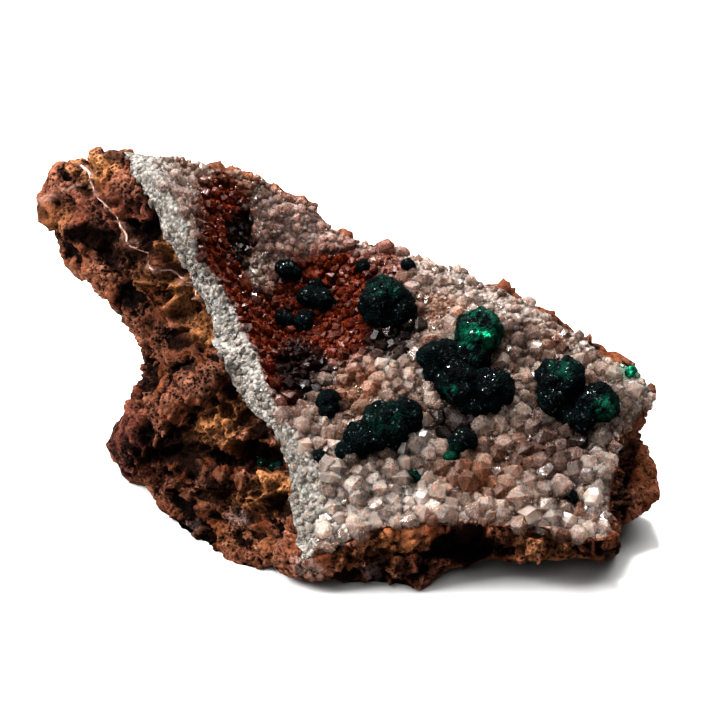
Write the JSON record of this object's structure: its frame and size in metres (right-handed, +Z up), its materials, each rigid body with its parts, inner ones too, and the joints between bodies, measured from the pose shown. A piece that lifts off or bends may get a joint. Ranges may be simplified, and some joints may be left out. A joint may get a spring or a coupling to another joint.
{
  "type": "malachite on drusy quartz mineral specimen",
  "caption": "Hand specimen of dark green botryoidal malachite on a druse of pale quartz crystals that lines a hollow in brown iron-stained rock; rests on its flat foot.",
  "frame": {"origin": "on the flat foot under the rock, on the surface that it rests on, near below the specimen's centre of mass", "axes": "+X along the specimen's longest side, from the tall rock horn at the left to the druse's tip at the right; -Y the way the druse faces; +Z up"},
  "size_m": [0.0826, 0.0502, 0.0441],
  "materials": {
    "rock": "rough, spongy, iron-stained rock, dull maroon to ochre",
    "quartz": "translucent pale quartz crystals with glassy faces, rust-red in the hollow",
    "malachite": "dark green rounded crystal clusters with a vitreous sheen"
  },
  "bodies": {
    "root": {"rock": "rock", "quartz_druse": "quartz", "malachite_crown": "malachite", "malachite_right": "malachite", "malachite_front": "malachite", "malachite_rear": "malachite", "malachite_hollow_trio": "malachite", "malachite_hollow_top": "malachite", "malachite_hollow_left": "malachite", "malachite_hollow_low": "malachite", "malachite_bead": "malachite", "malachite_drip": "malachite"}
  },
  "joints": []
}
